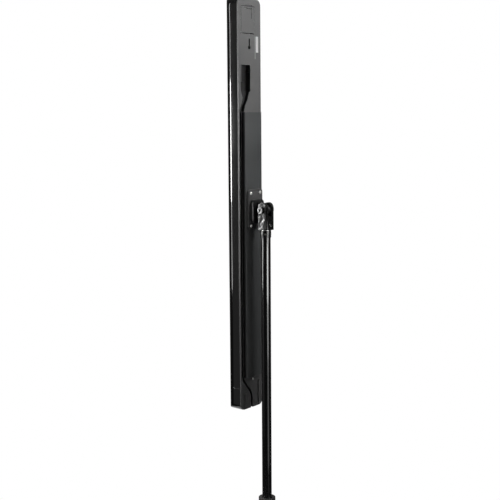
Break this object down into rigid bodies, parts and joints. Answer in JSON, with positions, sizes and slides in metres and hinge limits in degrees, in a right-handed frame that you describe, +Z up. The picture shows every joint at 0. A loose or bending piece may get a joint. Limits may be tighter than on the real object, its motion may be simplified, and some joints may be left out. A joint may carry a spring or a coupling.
{
  "type": "electronic music stand",
  "caption": "Slim upright display panel on a tilting fork and clamped telescopic pole, with a folding tripod, battery door, cable channel and keyhole",
  "frame": {"origin": "on the floor, at the middle of the footprint of the three open legs", "axes": "+Z up; the display faces -Y; +X runs across the panel, to the left as seen from behind"},
  "size_m": [0.5984, 0.5214, 1.695],
  "materials": {
    "gloss_shell": "high gloss black",
    "cover_plastic": "fine moulded texture, dark grey",
    "spine_plastic": "fine moulded texture, dark grey",
    "screen_glass": "smoked, polished",
    "display_film": "unlit panel",
    "light_guide": "milky",
    "board_green": "solder mask",
    "brass": "turned",
    "tray_plastic": "moulded",
    "cell_wrap": "shrink film",
    "bright_steel": "nickel plated",
    "socket_plastic": "moulded",
    "bracket_paint": "satin black powder coat",
    "fork_paint": "semi-gloss black",
    "pole_enamel": "gloss black enamel",
    "leg_enamel": "gloss black enamel",
    "collar_plastic": "moulded black",
    "knob_plastic": "moulded black",
    "rubber": "matt",
    "label_white": "paper"
  },
  "bodies": {
    "base": {"post_tube": "pole_enamel", "post_foot": "socket_plastic", "clutch_bush": "tray_plastic", "height_clutch": "collar_plastic", "lower_collar": "collar_plastic", "lower_pins": "bright_steel"},
    "clamp": {"clamp_screw": "bright_steel", "clamp_knob": "knob_plastic"},
    "mast": {"mast_tube": "pole_enamel", "mast_plug": "bright_steel", "ferrule": "fork_paint", "ferrule_screws": "bright_steel", "mast_guide": "tray_plastic"},
    "head": {"fork": "fork_paint", "friction_washers": "tray_plastic", "clevis_bolt": "fork_paint", "lock_nut": "bright_steel", "swivel_screw": "bright_steel"},
    "panel": {"front_body": "gloss_shell", "top_cap": "gloss_shell", "bottom_cap": "gloss_shell", "screen_glass": "screen_glass", "display_module": "display_film", "backlight": "light_guide", "main_board": "board_green", "board_spacers": "brass", "back_cover": "cover_plastic", "battery_tray": "tray_plastic", "cells": "cell_wrap", "cell_contacts": "bright_steel", "power_inlet": "socket_plastic", "spine": "spine_plastic", "spine_screw": "bright_steel", "tilt_bracket": "bracket_paint", "plate_screws": "bright_steel", "pad_short": "rubber", "pad_long": "rubber", "rating_label": "label_white"},
    "door": {"battery_door": "cover_plastic"},
    "spider": {"leg_collar": "collar_plastic", "upper_pins": "bright_steel"},
    "collar_clamp": {"collar_screw": "bright_steel", "collar_knob": "knob_plastic"},
    "leg_1": {"leg_tube_1": "leg_enamel", "leg_end_1": "collar_plastic", "leg_foot_1": "rubber"},
    "brace_1": {"strut_1": "leg_enamel"},
    "leg_2": {"leg_tube_2": "leg_enamel", "leg_end_2": "collar_plastic", "leg_foot_2": "rubber"},
    "brace_2": {"strut_2": "leg_enamel"},
    "leg_3": {"leg_tube_3": "leg_enamel", "leg_end_3": "collar_plastic", "leg_foot_3": "rubber"},
    "brace_3": {"strut_3": "leg_enamel"}
  },
  "joints": [
    {"name": "height_slide", "type": "slide", "parent": "base", "child": "mast", "axis": [0, 0, 1], "range_m": [-0.16, 0.2]},
    {"name": "head_swivel", "type": "hinge", "parent": "mast", "child": "head", "pos_m": [0, -0.0829, 1.185], "axis": [0, 0, 1], "continuous": true},
    {"name": "panel_tilt", "type": "hinge", "parent": "head", "child": "panel", "pos_m": [0, -0.0829, 1.23], "axis": [1, 0, 0], "range_deg": [-80, 2.5]},
    {"name": "door_hinge", "type": "hinge", "parent": "panel", "child": "door", "pos_m": [0.0053, -0.1284, 1.6209], "axis": [-1, 0, 0], "range_deg": [0, 95]},
    {"name": "clamp_turn", "type": "hinge", "parent": "base", "child": "clamp", "pos_m": [0.03, -0.0829, 0.525], "axis": [1, 0, 0], "range_deg": [0, 360]},
    {"name": "fold_slide", "type": "slide", "parent": "base", "child": "spider", "axis": [0, 0, 1], "range_m": [0, 0.16563]},
    {"name": "collar_turn", "type": "hinge", "parent": "spider", "child": "collar_clamp", "pos_m": [0.02598, -0.0679, 0.17397], "axis": [0.866, 0.5, 0], "range_deg": [0, 360]},
    {"name": "leg_fold_1", "type": "hinge", "parent": "spider", "child": "leg_1", "pos_m": [0, -0.0559, 0.17197], "axis": [-1, 0, 0], "range_deg": [0, 59.1]},
    {"name": "brace_fold_1", "type": "hinge", "parent": "base", "child": "brace_1", "pos_m": [0, -0.0559, 0.02502], "axis": [-1, 0, 0], "range_deg": [-59.1, 0]},
    {"name": "leg_fold_2", "type": "hinge", "parent": "spider", "child": "leg_2", "pos_m": [-0.02338, -0.0964, 0.17197], "axis": [0.5, -0.866, 0], "range_deg": [0, 59.1]},
    {"name": "brace_fold_2", "type": "hinge", "parent": "base", "child": "brace_2", "pos_m": [-0.02338, -0.0964, 0.02502], "axis": [0.5, -0.866, 0], "range_deg": [-59.1, 0]},
    {"name": "leg_fold_3", "type": "hinge", "parent": "spider", "child": "leg_3", "pos_m": [0.02338, -0.0964, 0.17197], "axis": [0.5, 0.866, 0], "range_deg": [0, 59.1]},
    {"name": "brace_fold_3", "type": "hinge", "parent": "base", "child": "brace_3", "pos_m": [0.02338, -0.0964, 0.02502], "axis": [0.5, 0.866, 0], "range_deg": [-59.1, 0]}
  ],
  "couplings": [
    {"joint": "leg_fold_1", "follows": "fold_slide", "rad_per_m": 6.2173},
    {"joint": "brace_fold_1", "follows": "fold_slide", "rad_per_m": -6.2173},
    {"joint": "leg_fold_2", "follows": "fold_slide", "rad_per_m": 6.2173},
    {"joint": "brace_fold_2", "follows": "fold_slide", "rad_per_m": -6.2173},
    {"joint": "leg_fold_3", "follows": "fold_slide", "rad_per_m": 6.2173},
    {"joint": "brace_fold_3", "follows": "fold_slide", "rad_per_m": -6.2173}
  ]
}
